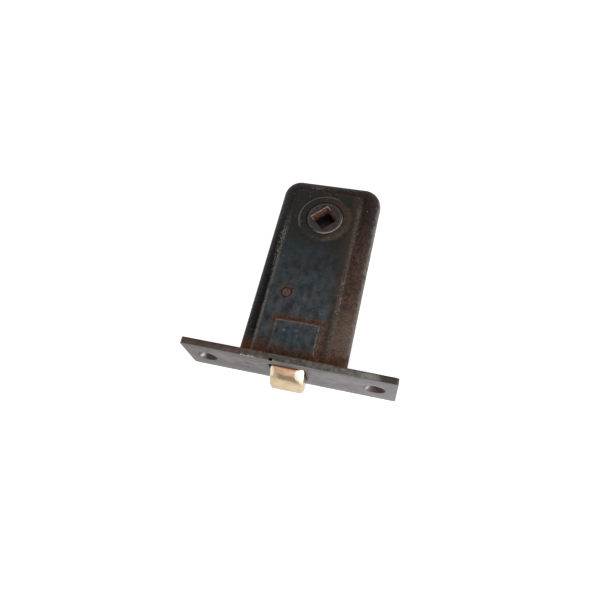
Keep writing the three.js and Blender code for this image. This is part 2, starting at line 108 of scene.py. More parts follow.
SEAM = 0.15  # half of the gap between the case's halves
CORE_X = CASE_HALF_X - EDGE_RADIUS
FLAT_MIDDLE = -0.6  # x of the raised flat side's middle
FLAT_X = CORE_X - 0.3  # from there to where it starts to slope down, at its long edges
FLAT_Y = CASE_DEPTH - EDGE_RADIUS - 0.75  # and at its rear edge
PAD_HALF_X = 8.3  # half width of the raised pad over the bolt
PAD_REAR = 17.5
PAD_FLARE_Y = 7.0  # the pad gets wider from here to the faceplate
PAD_FLARE = 2.6  # by this on each side
RIVET = (-7.6, 29.8)
RIVET_RADIUS = 2.1
JOURNAL_RADIUS = 7.65
FRONT_RIVET_X = 16.4
SCREW_X = 33.0
OPENING_HALF_X = 7.1
OPENING_HALF_Z = 6.2
NICK_X = -5.55  # middle of the notch in the faceplate's upper edge, off the plate's middle

# ------------------------------------------------------------------ camera, light and floor


def camera():
    """Looks down at the lock from in front of the faceplate's right end, with a slight roll."""
    eye = at(PLATE_MIDDLE + 38.14, -54.08, 194.2)
    target = at(PLATE_MIDDLE - 2.62, 30.48, 0)
    roll = math.radians(-13.657)
    data = bpy.data.cameras.new("camera")
    data.lens = 31.97
    data.sensor_width = 36.0
    data.clip_start = 0.01
    data.clip_end = 10.0
    made = bpy.data.objects.new("camera", data)
    made.location = eye
    look = (target - eye).to_track_quat("-Z", "Y").to_matrix().to_4x4()
    made.matrix_world = Matrix.Translation(eye) @ look @ Matrix.Rotation(roll, 4, "Z")
    bpy.context.collection.objects.link(made)
    bpy.context.scene.camera = made


def area_light(name, place, size, watts):
    """A rectangular light that faces the lock."""
    data = bpy.data.lights.new(name, "AREA")
    data.shape = "RECTANGLE"
    data.size, data.size_y = size
    data.energy = watts
    made = bpy.data.objects.new(name, data)
    made.location = place
    made.rotation_euler = (-Vector(place)).to_track_quat("-Z", "Y").to_euler()
    bpy.context.collection.objects.link(made)


def stage():
    """A white floor that glows softly, less so under the case, whose sides would else mirror it."""
    reach = 3.0
    gap = 0.0002
    mesh = bpy.data.meshes.new("floor")
    corners = [(-reach, -reach, 0), (reach, -reach, 0), (reach, reach, 0), (-reach, reach, 0)]
    mesh.from_pydata(corners, [], [(0, 1, 2, 3)])
    floor = bpy.data.objects.new("floor", mesh)
    bpy.context.collection.objects.link(floor)
    floor.location = (0, 0, CAD_BOX[0][2] - gap)
    paint, nodes, shader = material("floor_white")
    shader.inputs["Base Color"].default_value = (0.45, 0.45, 0.45, 1)
    shader.inputs["Roughness"].default_value = 0.9
    shader.inputs["Specular IOR Level"].default_value = 0.0
    shader.inputs["Emission Color"].default_value = (1, 1, 1, 1)
    x, y, _ = nodes.place()
    middle = (CASE_FRONT + CASE_DEPTH) / 2
    half_depth = (CASE_DEPTH - CASE_FRONT) / 2
    inset = 4.0
    beyond = (abs(x) - CASE_HALF_X + inset).most(abs(y - middle) - half_depth + inset)
    glow = nodes.step(beyond, -5.0, 4.5) * 0.8 + 0.08
    nodes.put(shader.inputs["Emission Strength"], glow)
    mesh.materials.append(paint)


def studio():
    """A room that is bright on the right at eye level and darker overhead, with a key and a fill light."""
    world = bpy.data.worlds.new("studio")
    world.use_nodes = True
    nodes = Nodes(world.node_tree)
    parts = nodes.add("ShaderNodeSeparateXYZ")
    nodes.put(parts.inputs[0], nodes.add("ShaderNodeTexCoord").outputs["Generated"])
    right = Field(nodes, parts.outputs[0])
    up = Field(nodes, parts.outputs[2])
    strength = 0.26 + nodes.step(up, 0.95, 0.15) * (0.44 + nodes.step(right, -0.5, 0.9) * 0.7)
    background = world.node_tree.nodes["Background"]
    background.inputs["Color"].default_value = (1, 1, 1, 1)
    nodes.put(background.inputs["Strength"], strength)
    bpy.context.scene.world = world
    bpy.context.scene.view_settings.view_transform = "Standard"
    area_light("key", (0.5, -0.62, 0.46), (0.5, 0.5), 6.0)
    area_light("fill", (-0.65, -0.35, 0.4), (0.6, 0.4), 1.6)


# ------------------------------------------------------------------ node helpers


class Nodes:
    """Writes a shader's maths as Python expressions."""

    def __init__(self, tree):
        self.tree = tree
        self.vector = None  # the place in millimetres: place() sets it, the noises read it

    def add(self, kind, **values):
        node = self.tree.nodes.new(kind)
        for key, value in values.items():
            setattr(node, key, value)
        return node

    def put(self, socket, value):
        """Links a field or a socket, or sets a plain value."""
        if isinstance(value, Field):
            self.tree.links.new(value.socket, socket)
        elif isinstance(value, bpy.types.NodeSocket):
            self.tree.links.new(value, socket)
        else:
            socket.default_value = value

    def maths(self, operation, *values, clamp=False):
        node = self.add("ShaderNodeMath", operation=operation, use_clamp=clamp)
        for socket, value in zip(node.inputs, values):
            self.put(socket, value)
        return Field(self, node.outputs[0])

    def place(self):
        """The surface point in the design frame, in millimetres, as x, y and z."""
        coordinates = self.add("ShaderNodeTexCoord").outputs["Object"]
        shifted = self.add("ShaderNodeVectorMath", operation="SUBTRACT")
        self.put(shifted.inputs[0], coordinates)
        shifted.inputs[1].default_value = ORIGIN
        scaled = self.add("ShaderNodeVectorMath", operation="SCALE")
        self.put(scaled.inputs[0], shifted.outputs[0])
        scaled.inputs["Scale"].default_value = 1 / MM
        self.vector = scaled.outputs[0]
        parts = self.add("ShaderNodeSeparateXYZ")
        self.put(parts.inputs[0], self.vector)
        return tuple(Field(self, parts.outputs[i]) for i in range(3))

    def noise(self, scale, detail, roughness, stretch=(1, 1, 1), offset=0.0, distortion=0.0):
        """Fractal noise with scale waves in a millimetre."""
        mapping = self.add("ShaderNodeMapping")
        self.put(mapping.inputs["Vector"], self.vector)
        mapping.inputs["Scale"].default_value = tuple(scale * s for s in stretch)
        mapping.inputs["Location"].default_value = (offset, offset * 1.7, offset * 0.6)
        node = self.add("ShaderNodeTexNoise")
        node.inputs["Scale"].default_value = 1.0
        node.inputs["Detail"].default_value = detail
        node.inputs["Roughness"].default_value = roughness
        node.inputs["Distortion"].default_value = distortion
        self.put(node.inputs["Vector"], mapping.outputs[0])
        return Field(self, node.outputs["Fac"])

    def spots(self, scale, offset):
        """Distance to the nearest of points scattered 1 / scale millimetres apart, in that unit."""
        mapping = self.add("ShaderNodeMapping")
        self.put(mapping.inputs["Vector"], self.vector)
        mapping.inputs["Scale"].default_value = (scale, scale, scale)
        mapping.inputs["Location"].default_value = (offset, offset, offset)
        node = self.add("ShaderNodeTexVoronoi")
        node.inputs["Scale"].default_value = 1.0
        self.put(node.inputs["Vector"], mapping.outputs[0])
        return Field(self, node.outputs["Distance"])

    def step(self, value, low, high):
        """0 at low and 1 at high, smoothly, and constant outside them; low may be above high."""
        node = self.add("ShaderNodeMapRange", interpolation_type="SMOOTHSTEP")
        self.put(node.inputs["Value"], value)
        limits = (high, low, 1.0, 0.0) if low > high else (low, high, 0.0, 1.0)
        for name, limit in zip(("From Min", "From Max", "To Min", "To Max"), limits):
            self.put(node.inputs[name], limit)
        return Field(self, node.outputs["Result"])

    def band(self, value, centre, half, soft):
        """1 within half of centre, fading over soft."""
        return self.step(abs(value - centre), half + soft, half)

    def mix(self, first, second, factor):
        """The first colour where the factor is 0, the second where it is 1."""
        node = self.add("ShaderNodeMix", data_type="RGBA")
        self.put(node.inputs["Factor"], factor)
        a, b = [s for s in node.inputs if s.type == "RGBA"]
        for socket, colour in ((a, first), (b, second)):
            self.put(socket, (*colour, 1.0) if isinstance(colour, tuple) else colour)
        return next(s for s in node.outputs if s.type == "RGBA")


class Field:
    """A number that varies over the surface."""

    def __init__(self, nodes, socket):
        self.nodes = nodes
        self.socket = socket

    def __add__(self, other):
        return self.nodes.maths("ADD", self, other)

    def __sub__(self, other):
        return self.nodes.maths("SUBTRACT", self, other)

    def __rsub__(self, other):
        return self.nodes.maths("SUBTRACT", other, self)

    def __mul__(self, other):
        return self.nodes.maths("MULTIPLY", self, other)

    def __abs__(self):
        return self.nodes.maths("ABSOLUTE", self)

    def most(self, other):
        return self.nodes.maths("MAXIMUM", self, other)

    def least(self, other):
        return self.nodes.maths("MINIMUM", self, other)

    def clamp(self):
        return self.nodes.maths("ADD", self, 0.0, clamp=True)

    __radd__ = __add__
    __rmul__ = __mul__


def material(name):
    """A new material, its maths and its shader."""
    made = bpy.data.materials.new(name)
    made.use_nodes = True
    nodes = Nodes(made.node_tree)
    shader = made.node_tree.nodes["Principled BSDF"]
    return made, nodes, shader


def bump(nodes, shader, height, strength, distance_mm):
    """Makes the surface look uneven by up to a distance."""
    node = nodes.add("ShaderNodeBump")
    node.inputs["Strength"].default_value = strength
    node.inputs["Distance"].default_value = distance_mm * MM
    nodes.put(node.inputs["Height"], height)
    nodes.put(shader.inputs["Normal"], node.outputs["Normal"])


# ------------------------------------------------------------------ materials


def pad_distance(nodes, x, y):
    """Millimetres outside the flat top of the raised latch pad."""
    half = nodes.maths("MAXIMUM", PAD_FLARE_Y - y, 0.0) * (PAD_FLARE / PAD_FLARE_Y) + PAD_HALF_X
    return (abs(x) - half).most(y - PAD_REAR)


def radius_from(nodes, x, y, centre):
    """Distance from a centre in two coordinates."""
    dx = x - centre[0]
    dy = y - centre[1]
    return nodes.maths("SQRT", dx * dx + dy * dy)


class CaseSurface:
    """The places and the noises that the case's colours share."""

    def __init__(self, n):
        self.x, self.y, _ = n.place()
        self.across = self.x - FLAT_MIDDLE
        self.pad = pad_distance(n, self.x, self.y)
        self.hub_r = radius_from(n, self.x, self.y, (0.0, BACKSET))
        self.rivet_r = radius_from(n, self.x, self.y, RIVET)
        self.cloud = n.noise(0.13, 5.0, 0.6)
        self.patch = n.noise(0.5, 7.0, 0.68, offset=11.0, distortion=0.4)
        self.mottle = n.noise(1.5, 6.0, 0.72, offset=37.0)
        self.grain = n.noise(4.0, 3.0, 0.7, offset=5.0)
        self.streak = n.noise(0.6, 5.0, 0.7, stretch=(3.5, 0.45, 1.0), offset=23.0)
        self.dash = n.noise(2.2, 5.0, 0.8, stretch=(1.6, 0.5, 1.0), offset=53.0)


def case_oxide(n, s):
    """The flat side's oxide, bluest in its middle, grey where handled, brown to the right."""
    blue = n.step(s.cloud * 0.6 + s.patch * 0.4, 0.4, 0.6)
    blue = blue * n.step(s.y, 62.0, 42.0) * n.step(s.x, 13.0, 6.0)
    colour = n.mix((0.02, 0.0205, 0.0185), (0.0235, 0.035, 0.043), blue)
    handled = n.step(n.noise(0.3, 6.0, 0.62, stretch=(1.3, 0.8, 1.0), offset=61.0), 0.34, 0.7)
    colour = n.mix(colour, (0.062, 0.07, 0.079), handled * n.step(s.y, 62.0, 20.0))
    dark = n.step(s.mottle * 0.6 + s.grain * 0.4, 0.46, 0.3)
    colour = n.mix(colour, (0.012, 0.013, 0.014), dark * 0.7)
    brown = n.step(s.patch, 0.48, 0.74) * (1.0 - blue * 0.8)
    colour = n.mix(colour, (0.044, 0.03, 0.022), brown * 0.8)
    right = n.step(s.across + (s.patch - 0.5) * 6.0, 9.0, 13.5)
    return n.mix(colour, (0.042, 0.03, 0.022), right * 0.8)


def case_rounding_with_painted_light(n, s):
    """The round edges: nearly black on the left as painted shade on the side away from the light, brown on
    the right from rust with painted light, rubbed grey near the faceplate and with a painted highlight along
    the right rim.
    """
    # Painted shade: the left rounding is painted nearly black.
    left = n.mix((0.0035, 0.0032, 0.0032), (0.015, 0.011, 0.009), n.step(s.streak, 0.45, 0.75))
    rear = n.step(s.y + (s.patch - 0.5) * 12.0, 54.0, 68.0)
    left = n.mix(left, (0.019, 0.0185, 0.0165), rear * 0.8)
    brown = n.step(s.streak * 0.4 + s.patch * 0.6, 0.38, 0.64)
    right = n.mix((0.018, 0.0105, 0.0085), (0.062, 0.04, 0.031), brown)
    right = n.mix(right, (0.05, 0.022, 0.016), n.step(s.patch, 0.52, 0.66) * 0.6)
    dark = n.step(s.y, 34.0, 46.0) * n.step(s.streak, 0.6, 0.38)
    right = n.mix(right, (0.012, 0.0075, 0.007), dark * 0.75)
    rear = n.step(s.y + (s.patch - 0.5) * 14.0, 44.0, 64.0)
    right = n.mix(right, (0.014, 0.008, 0.0075), rear * 0.7)
    front = n.step(s.y, 36.0, 8.0) * n.step(s.mottle, 0.3, 0.6)
    right = n.mix(right, (0.15, 0.112, 0.092), front * 0.85)
    # Painted highlight: a pale band along the right rim, where the edge catches the light.
    rim = n.step(s.x + (s.patch - 0.5) * 4.0, 19.6, 21.6)
    right = n.mix(right, (0.23, 0.215, 0.205), rim * 0.6)
    # Painted shade and light: the near-black left turns into the lighter right across the case.
    return n.mix(left, right, n.step(s.x + (s.patch - 0.5) * 6.0, -6.0, 11.0))


def case_rust_share(n, s):
    """How rusty the case is: most behind the faceplate, then along the pad, the rivet and the right edge."""
    near_plate = n.step(s.y + (s.patch - 0.5) * 16.0 - abs(s.across) * 0.16, 9.5, 3.0)
    pad_rear = n.band(s.pad, 1.3, 1.0, 1.1) * n.step(s.y, 15.0, 17.0) * n.step(s.mottle, 0.28, 0.5)
    pad_right = n.band(s.pad, 1.6, 1.3, 0.9) * n.step(s.x, 5.0, 8.0)
    pad_right = pad_right * n.step(s.patch * 0.5 + s.mottle * 0.5, 0.38, 0.58) * 0.85
    pad_left = n.band(s.pad, 1.2, 0.8, 0.8) * n.step(s.x, -5.0, -8.0) * n.step(s.mottle, 0.45, 0.7) * 0.6
    right_band = n.step(s.across + (s.patch - 0.5) * 5.0, 12.6, 14.6) * n.step(s.mottle, 0.4, 0.66)
    right_band = right_band * n.step(s.y, 74.0, 50.0) * 0.65
    rivet = n.band(s.rivet_r, 2.7, 0.35, 0.7) * n.step(s.mottle, 0.3, 0.6) * 0.8
    stripe = n.band(s.y + (s.patch - 0.5) * 1.2, 32.6, 0.4, 0.9) * n.band(s.x, -11.2, 2.4, 1.2)
    stripe = stripe * n.step(s.mottle, 0.4, 0.6) * 0.7
    boss = n.band(s.hub_r, 9.3, 1.2, 1.2) * n.step(s.x * 0.05 + s.cloud, 0.42, 0.62) * 0.4
    rear = n.step(s.y, 76.0, 81.0) * n.step(s.mottle, 0.45, 0.7) * 0.45
    share = near_plate
    for place in (pad_rear, pad_right, pad_left, right_band, rivet, stripe, boss, rear):
        share = share.most(place)
    return (share * n.step(s.grain * 0.3 + s.mottle * 0.7, 0.26, 0.5)).clamp()


def case_rust_colour(n, s):
    """Brown rust, orange next to the faceplate and brightest towards its ends."""
    brown = n.step(s.mottle * 0.5 + s.patch * 0.5, 0.38, 0.6)
    colour = n.mix((0.033, 0.016, 0.0105), (0.125, 0.064, 0.041), brown)
    uneven = s.patch * 0.5 + s.mottle * 0.5 + (abs(s.across) - 8.0) * 0.012
    orange = n.step(s.y, 10.0, 4.0) * n.step(uneven, 0.42, 0.6)
    colour = n.mix(colour, (0.13, 0.048, 0.022), orange * 0.8)
    flare = n.step(s.mottle * 0.5 + s.streak * 0.5, 0.52, 0.64) * orange * n.step(abs(s.across), 6.0, 10.0)
    return n.mix(colour, (0.26, 0.115, 0.06), flare * 0.8)


def case_ridge_wear_and_highlight(n, s):
    """Where the stamped lines are painted pale: partly bare metal rubbed on the ridges, partly painted edge
    highlights, on the pad and the boss on one side only.
    """
    wander = (s.patch - 0.5) * 0.9
    along = n.noise(0.9, 6.0, 0.8, offset=41.0)
    left = n.band(s.across + wander, -FLAT_X - 0.4, 0.2, 0.75)
    left = left * n.step(s.y, 74.0, 20.0) * n.step(along, 0.36, 0.58)
    specks = n.band(s.across + wander * 2.0, -FLAT_X - 0.6, 0.5, 1.3)
    specks = specks * n.band(s.y, 52.0, 9.0, 9.0) * n.step(s.dash, 0.5, 0.6)
    right = n.band(s.across + wander * 2.2, FLAT_X + 0.1, 0.4, 1.2)
    right = right * n.step(s.dash, 0.44, 0.6) * n.step(s.y, 77.0, 72.0) * 0.6
    rear = n.band(s.y + wander, FLAT_Y + 0.4, 0.1, 0.6)
    rear = rear * n.step(abs(s.across), 14.5, 12.0) * n.step(along, 0.45, 0.7) * 0.5
    # Painted highlight along the pad's edge, stronger towards its right and rear.
    pad = n.band(s.pad + wander * 0.5, 0.1, 0.05, 0.4) * n.step(s.y, 3.0, 6.0) * n.step(along, 0.35, 0.6)
    pad = pad * (n.step(s.x + s.y * 1.2, 6.0, 16.0) * 0.6 + 0.4)
    # Painted highlight on the boss's rear left arc.
    boss = n.band(s.hub_r, 10.8, 0.1, 0.45) * n.step(s.y * 0.9 - s.x - BACKSET * 0.9, 2.0, 8.0) * 0.8
    return left.most(specks).most(right).most(rear).most(pad).most(boss).clamp()


def case_flecks(n, s, colour):
    """The colour with pale specks, two dots on the pad and a few bright scratches."""
    specks = n.step(n.spots(0.4, 3.0), 0.16, 0.05) * n.step(n.noise(0.25, 2.0, 0.5, offset=9.0), 0.47, 0.58)
    fine = n.step(n.spots(1.1, 8.0), 0.2, 0.08) * n.step(s.patch, 0.5, 0.62) * 0.45
    left_dot = n.step(radius_from(n, s.x, s.y, (-4.5, 13.7)), 0.75, 0.3)
    right_dot = n.step(radius_from(n, s.x, s.y, (0.1, 14.2)), 0.6, 0.25) * 0.6
    pale = specks.most(fine).most(left_dot.most(right_dot))
    colour = n.mix(colour, (0.19, 0.165, 0.125), pale * 0.6)
    rear = n.band(s.y, 81.0, 0.6, 0.5) * n.band(s.x, -6.2, 2.2, 1.5) * n.step(s.dash, 0.52, 0.58)
    left = n.band(s.across, -15.2, 0.8, 0.9) * n.band(s.y, 51.0, 5.0, 5.0) * n.step(s.dash, 0.54, 0.6)
    right = n.band(s.across, 14.2, 0.5, 0.6) * n.band(s.y, 32.0, 5.0, 4.0) * n.step(s.dash, 0.56, 0.62)
    return n.mix(colour, (0.42, 0.4, 0.38), (rear * 0.4).most(left * 0.5).most(right * 0.5))


def blackened_steel():
    """Blue-black oxide, rusted near the faceplate and along the stamped lines, bare on the ridges with
    painted edge highlights there, painted shade on the left rounding and a painted highlight along the right
    rim.
    """
    made, n, shader = material("blackened_steel")
    s = CaseSurface(n)
    flat = n.step(abs(s.across), FLAT_X + 0.9, FLAT_X + 0.1) * n.step(s.y, FLAT_Y + 0.8, FLAT_Y)
    colour = n.mix(case_rounding_with_painted_light(n, s), case_oxide(n, s), flat)
    rust = case_rust_share(n, s)
    colour = n.mix(colour, case_rust_colour(n, s), rust * 0.95)
    ridge_wear_and_highlight = case_ridge_wear_and_highlight(n, s)
    bare = n.mix((0.105, 0.098, 0.088), (0.27, 0.245, 0.205), n.step(s.grain, 0.35, 0.65))
    # The pale lines are bare metal and painted edge highlights.
    colour = n.mix(colour, bare, ridge_wear_and_highlight * 0.7)
    n.put(shader.inputs["Base Color"], case_flecks(n, s, colour))
    shader.inputs["Metallic"].default_value = 0.0
    shader.inputs["Specular IOR Level"].default_value = 0.08
    roughness = 0.38 + s.cloud * 0.12 + s.mottle * 0.16 + rust * 0.3 - ridge_wear_and_highlight * 0.1
    n.put(shader.inputs["Roughness"], roughness.clamp())
    height = s.patch * 0.45 + s.mottle * 0.45 + s.grain * 0.25 + rust * 0.35 + s.streak * 0.25
    bump(n, shader, height, 0.75, 0.22)
    return made


def plate_face(n, x, cloud, patch, brush):
    """The faceplate's front: dull grey, a little darker to the left, with brown patches."""
    colour = n.mix((0.092, 0.082, 0.08), (0.152, 0.138, 0.142), n.step(cloud + x * 0.005, 0.36, 0.66))
    colour = n.mix(colour, (0.078, 0.062, 0.056), n.step(patch, 0.5, 0.78) * 0.6)
    return n.mix(colour, (0.2, 0.186, 0.186), n.step(brush, 0.58, 0.76) * 0.35)


def plate_edge(n, x, y, patch, mottle):
    """The faceplate's narrow sides: grey and brown, paler to the right, dark at that end and the rear."""
    grey = n.step(patch * 0.6 + mottle * 0.4, 0.38, 0.62)
    colour = n.mix((0.082, 0.068, 0.058), (0.22, 0.2, 0.172), grey)
    colour = n.mix(colour, (0.12, 0.062, 0.046), n.step(mottle - x * 0.006, 0.5, 0.68) * 0.75)
    colour = n.mix(colour, (0.5, 0.46, 0.41), n.step(x + (patch - 0.5) * 20.0, 14.0, 38.0) * 0.6)
    colour = n.mix(colour, (0.06, 0.042, 0.032), n.step(x + (mottle - 0.5) * 6.0, 32.0, 36.0) * 0.9)
    rear = n.step(y + (mottle - 0.5) * 1.2, 1.9, 2.5) * n.step(abs(x), 14.0, 22.0)
    return n.mix(colour, (0.045, 0.034, 0.028), rear * 0.8)


def plate_chips(n, x, y, rim, mottle):
    """Bare chips along the front's outline, most of them beside the bolt."""
    zones = n.band(x, -14.0, 2.6, 0.8).most(n.band(x, -4.6, 0.8, 0.5)).most(n.band(x, 5.5, 4.5, 2.0) * 0.45)
    chips = n.step(rim, 0.85, 0.2) * n.step(y, 0.6, 0.2) * zones * n.step(mottle - x * 0.004, 0.54, 0.61)
    scattered = n.step(n.noise(0.7, 5.0, 0.8, offset=17.0), 0.6, 0.66)
    return chips.most(n.step(rim, 0.4, 0.1) * n.step(y, 0.5, 0.2) * scattered * 0.6)


def beside_hole(nodes, x):
    """Millimetres to the right of the middle of the nearer screw hole."""
    sign = nodes.maths("SIGN", x)
    return x - sign * SCREW_X


def worn_plate():
    """Flat steel rubbed to a dull grey, brown along its edges, with bare chips, dark brown countersinks
    whose left walls are painted lighter as lit and carry a painted glint, and a notch painted black as
    shade.
    """
    made, n, shader = material("plate_steel")
    x, y, z = n.place()
    x = x - PLATE_MIDDLE
    cloud = n.noise(0.1, 4.0, 0.55)
    patch = n.noise(0.45, 6.0, 0.65, offset=7.0)
    mottle = n.noise(1.6, 5.0, 0.7, offset=27.0)
    grain = n.noise(3.5, 3.0, 0.7, offset=2.0)
    brush = n.noise(1.0, 4.0, 0.65, stretch=(0.1, 3.0, 5.0), offset=31.0)
    front = n.step(y, 0.25, 0.05)
    colour = n.mix(plate_edge(n, x, y, patch, mottle), plate_face(n, x, cloud, patch, brush), front)
    in_sink = n.step(radius_from(n, abs(x), z, (SCREW_X, 0.0)), 4.35, 4.15)
    from_hole = beside_hole(n, x)
    # Painted light: the countersinks' left walls, facing the key, are painted lighter, with a painted glint
    # on them.
    painted_lit_wall = n.step(from_hole + (mottle - 0.5) * 2.4, -0.9, -2.4) * in_sink
    painted_glint = n.step(radius_from(n, from_hole + (mottle - 0.5) * 1.2, z, (-2.8, -2.0)), 1.2, 0.1) * in_sink
    colour = n.mix(colour, (0.04, 0.026, 0.02), in_sink * 0.92)
    colour = n.mix(colour, (0.11, 0.1, 0.104), painted_lit_wall)
    colour = n.mix(colour, (0.45, 0.45, 0.48), painted_glint * 0.9)
    rim = (PLATE_HALF_Z - abs(z)).least(PLATE_HALF_X - abs(x))
    chips = plate_chips(n, x, y, rim, mottle)
    colour = n.mix(colour, (0.68, 0.66, 0.64), chips * 0.85)
    # Painted shade: the notch is painted near black, as the shade inside the cut.
    nick = n.band(x, NICK_X, 0.5, 0.25) * n.step(z, PLATE_HALF_Z - 1.1, PLATE_HALF_Z - 0.9)
    nick = nick * n.step(y, 1.0, 0.8) * n.step(rim + y, 0.02, 0.12)
    colour = n.mix(colour, (0.003, 0.002, 0.002), nick)
    n.put(shader.inputs["Base Color"], colour)
    shader.inputs["Metallic"].default_value = 0.85
    shader.inputs["Anisotropic"].default_value = 0.25
    roughness = 0.4 + patch * 0.2 + (1.0 - front) * 0.14 - chips * 0.15 - painted_lit_wall * 0.18
    n.put(shader.inputs["Roughness"], roughness.clamp())
    bump(n, shader, patch * 0.5 + grain * 0.25 + brush * 0.35 + mottle * 0.2, 0.4, 0.12)
    return made


def hub_iron():
    """Machined iron with a brown patina, rubbed at its rim with a painted highlight on the side towards the
    key, rusty inside its square hole, which is painted near black deeper in as shade, with a painted
    highlight on one of its edges.
    """
    made, n, shader = material("hub_iron")
    x, y, z = n.place()
    cloud = n.noise(0.4, 5.0, 0.65)
    mottle = n.noise(1.4, 5.0, 0.7, offset=15.0)
    grain = n.noise(3.4, 4.0, 0.7, offset=3.0)
    r = radius_from(n, x, y, (0.0, BACKSET))
    end = n.step(abs(z), HUB_TOP - 0.45, HUB_TOP - 0.2)
    brown = n.step(cloud * 0.6 + mottle * 0.4, 0.38, 0.62)
    face = n.mix((0.02, 0.0155, 0.014), (0.052, 0.04, 0.036), brown)
    rust = n.step(mottle * 0.6 + grain * 0.4, 0.38, 0.62)
    inside = n.mix((0.06, 0.022, 0.013), (0.21, 0.095, 0.062), rust)
    # Painted shade: the square hole turns near black deeper inside.
    inside = n.mix(inside, (0.004, 0.002, 0.0015), n.step(abs(z), HUB_TOP - 3.6, HUB_TOP - 6.4))
    colour = n.mix(inside, face, end)
    # Painted highlights: the rim on its side towards the key and one upper edge of the square hole; the
    # turned line is the iron's own.
    facing = n.step(x - (y - BACKSET), 2.0, 9.0)
    bright = n.band(r, 7.35, 0.12, 0.2) * end * facing * n.step(mottle, 0.3, 0.5)
    lip = n.band(abs(x + y - BACKSET).most(abs(x - y + BACKSET)) * math.sqrt(0.5), 4.05, 0.1, 0.25)
    lip = lip * end * n.step(y - BACKSET - x, 1.5, 4.0) * n.step(mottle, 0.35, 0.55)
    turned = n.band(r, 6.7, 0.06, 0.12) * end * 0.25
    colour = n.mix(colour, (0.36, 0.33, 0.3), (bright.most(lip).most(turned) * 0.85).clamp())
    n.put(shader.inputs["Base Color"], colour)
    shader.inputs["Metallic"].default_value = 0.35
    n.put(shader.inputs["Roughness"], (0.38 + mottle * 0.25).clamp())
    bump(n, shader, grain * 0.4 + mottle * 0.4 + cloud * 0.4, 0.6, 0.16)
    return made


def rusty_steel():
    """Brown rust, dark round the rivet's end."""
    made, n, shader = material("rusty_steel")
    x, y, _ = n.place()
    cloud = n.noise(0.9, 5.0, 0.7)
    r = radius_from(n, x, y, RIVET)
    colour = n.mix((0.05, 0.024, 0.017), (0.15, 0.078, 0.054), n.step(cloud, 0.35, 0.65))
    colour = n.mix(colour, (0.012, 0.006, 0.005), n.band(r, 1.95, 0.2, 0.25) * 0.9)
    n.put(shader.inputs["Base Color"], colour)
    shader.inputs["Metallic"].default_value = 0.2
    shader.inputs["Roughness"].default_value = 0.7
    bump(n, shader, cloud, 0.6, 0.15)
    return made


def rubbed_brass():
    """Brass polished by the striker, dull and brown where it slides inside the faceplate, with a painted
    dark reflection of the plate along its root and painted reflections on its polished worn corners.
    """
    made, n, shader = material("brass")
    x, y, z = n.place()
    cloud = n.noise(0.28, 4.0, 0.6, offset=4.0)
    patch = n.noise(0.9, 5.0, 0.65, offset=13.0)
    fine = n.noise(1.6, 3.0, 0.6, stretch=(0.3, 4.0, 4.0), offset=8.0)
    clean = n.mix((0.5, 0.385, 0.255), (0.6, 0.475, 0.325), n.step(cloud, 0.35, 0.65))
    clean = n.mix(clean, (0.62, 0.42, 0.3), n.step(patch, 0.52, 0.72) * 0.5)
    brown = n.mix((0.5, 0.235, 0.125), (0.76, 0.46, 0.31), n.step(patch, 0.35, 0.65))
    bevel = n.step(y + (patch - 0.5) * 1.6, -2.9, -0.9) * n.step(abs(x), 5.3, 4.4)
    colour = n.mix(clean, brown, bevel * 0.9)
    # Painted shade: a dark band along the bevel's root, the plate and its gap painted in as a dark
    # reflection.
    rear = n.step(y + (patch - 0.5) * 0.8 + x * 0.03, -0.9, -0.2)
    colour = n.mix(colour, (0.3, 0.13, 0.07), rear * 0.8)
    smear = n.band(y + x * 0.07 + (cloud - 0.5) * 1.6, -3.1, 0.4, 0.75) * n.band(x, 0.5, 3.2, 2.0)
    colour = n.mix(colour, (0.215, 0.15, 0.09), smear * 0.85)
    # The worn corners are polished brass, painted pale as a painted reflection of the bright room.
    for point, polish_and_reflection in zip(WEAR_POINTS, ((0.76, 0.72, 0.59), (0.93, 0.8, 0.6))):
        normal = wear_normal(point[0])
        height = x * normal.x + y * normal.y + z * normal.z
        cheek_reflection = n.step(height - normal.dot(Vector(point)), -0.14, -0.02) * n.step(y, -3.9, -2.6)
        colour = n.mix(colour, polish_and_reflection, cheek_reflection * 0.95)
    inside = n.step(y + (patch - 0.5) * 0.6, -0.5, 0.5)
    colour = n.mix(colour, (0.22, 0.115, 0.06), inside * 0.8)
    n.put(shader.inputs["Base Color"], colour)
    shader.inputs["Metallic"].default_value = 1.0
    roughness = 0.22 + patch * 0.14 + bevel * 0.12 + smear * 0.15 + inside * 0.15
    n.put(shader.inputs["Roughness"], roughness.clamp())
    bump(n, shader, patch * 0.4 + fine * 0.3 + cloud * 0.5, 0.35, 0.1)
    return made


def inner_steel(name, dark, light, roughness):
    """Oiled steel with a trace of brown."""
    made, n, shader = material(name)
    n.place()
    cloud = n.noise(0.35, 5.0, 0.6)
    grain = n.noise(2.5, 3.0, 0.6, offset=6.0)
    colour = n.mix(dark, light, n.step(cloud, 0.35, 0.65))
    brown = n.step(n.noise(0.8, 4.0, 0.7, offset=19.0), 0.58, 0.72)
    colour = n.mix(colour, (0.085, 0.045, 0.028), brown * 0.6)
    n.put(shader.inputs["Base Color"], colour)
    shader.inputs["Metallic"].default_value = 0.85
    n.put(shader.inputs["Roughness"], (grain * 0.2 + roughness).clamp())
    bump(n, shader, cloud * 0.4 + grain * 0.3, 0.4, 0.08)
    return made


# ------------------------------------------------------------------ mesh helpers


def piece(name, points, faces):
    """An object from points in the design frame, in millimetres."""
    mesh = bpy.data.meshes.new(name)
    mesh.from_pydata([at(*p) for p in points], [], faces)
    mesh.validate()
    mesh.update()
    made = bpy.data.objects.new(name, mesh)
    bpy.context.collection.objects.link(made)
    return made


